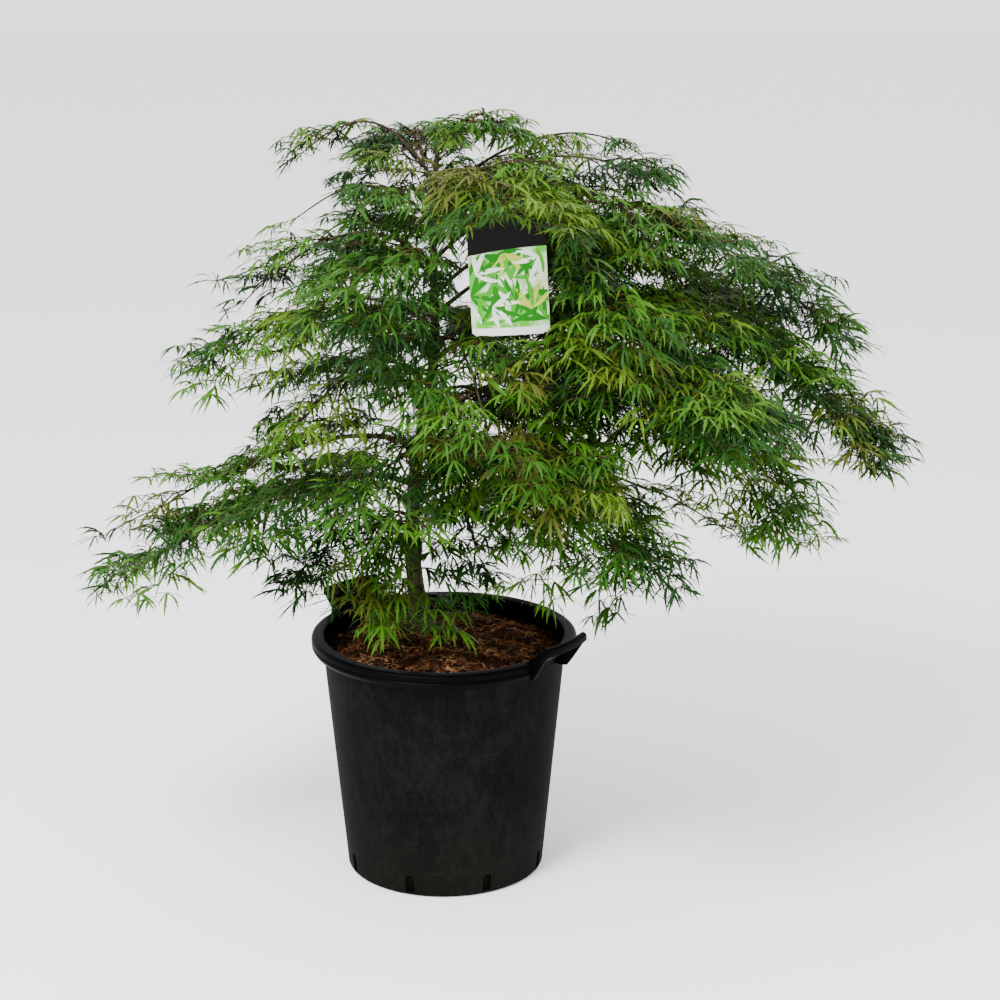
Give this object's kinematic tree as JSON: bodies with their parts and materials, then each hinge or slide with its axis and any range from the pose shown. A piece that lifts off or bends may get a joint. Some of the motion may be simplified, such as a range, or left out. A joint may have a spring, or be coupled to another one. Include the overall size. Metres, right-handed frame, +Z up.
{
  "type": "potted laceleaf maple",
  "caption": "Weeping laceleaf maple on one leaning stem, with arching boughs and masses of cut leaves, in a round nursery pot with rim handles.",
  "frame": {"origin": "centre of the pot's flat underside", "axes": "+Z up, +X to the right along the crown's longest extent, -Y towards the viewer"},
  "size_m": [1.2332, 0.9314, 1.0906],
  "materials": {
    "pot_plastic": "satin",
    "soil": "matte",
    "bark": "matte",
    "foliage": "matte",
    "label_card": "satin"
  },
  "bodies": {
    "root": {"bough_back_left_mid": "bark", "bough_back_low": "bark", "bough_back_mid": "bark", "bough_back_right_high": "bark", "bough_back_right_low": "bark", "bough_back_right_mid": "bark", "bough_crest_front": "bark", "bough_front_high": "bark", "bough_front_mid": "bark", "bough_left_long": "bark", "bough_left_sweep": "bark", "bough_right_far": "bark", "bough_right_front_low": "bark", "bough_right_front_mid": "bark", "bough_right_hem": "bark", "bough_right_high": "bark", "bough_right_low": "bark", "bough_right_shoulder": "bark", "handle_left": "pot_plastic", "handle_right": "pot_plastic", "label": "label_card", "leaves_back_high": "foliage", "leaves_back_left_high": "foliage", "leaves_back_left_low": "foliage", "leaves_back_left_mid": "foliage", "leaves_back_low": "foliage", "leaves_back_mid": "foliage", "leaves_back_right_high": "foliage", "leaves_back_right_low": "foliage", "leaves_back_right_mid": "foliage", "leaves_crest_back": "foliage", "leaves_crest_front": "foliage", "leaves_crest_left": "foliage", "leaves_crest_right": "foliage", "leaves_front_hem": "foliage", "leaves_front_high": "foliage", "leaves_front_left_high": "foliage", "leaves_front_low": "foliage", "leaves_front_mid": "foliage", "leaves_front_right": "foliage", "leaves_leader": "foliage", "leaves_left_front_hem": "foliage", "leaves_left_high": "foliage", "leaves_left_long": "foliage", "leaves_left_lower": "foliage", "leaves_left_mid": "foliage", "leaves_left_sweep": "foliage", "leaves_left_upper": "foliage", "leaves_right_crest": "foliage", "leaves_right_far": "foliage", "leaves_right_front_hem": "foliage", "leaves_right_front_low": "foliage", "leaves_right_front_mid": "foliage", "leaves_right_hem": "foliage", "leaves_right_high": "foliage", "leaves_right_low": "foliage", "leaves_right_shoulder": "foliage", "pot": "pot_plastic", "soil": "soil", "trunk": "bark"}
  },
  "joints": []
}
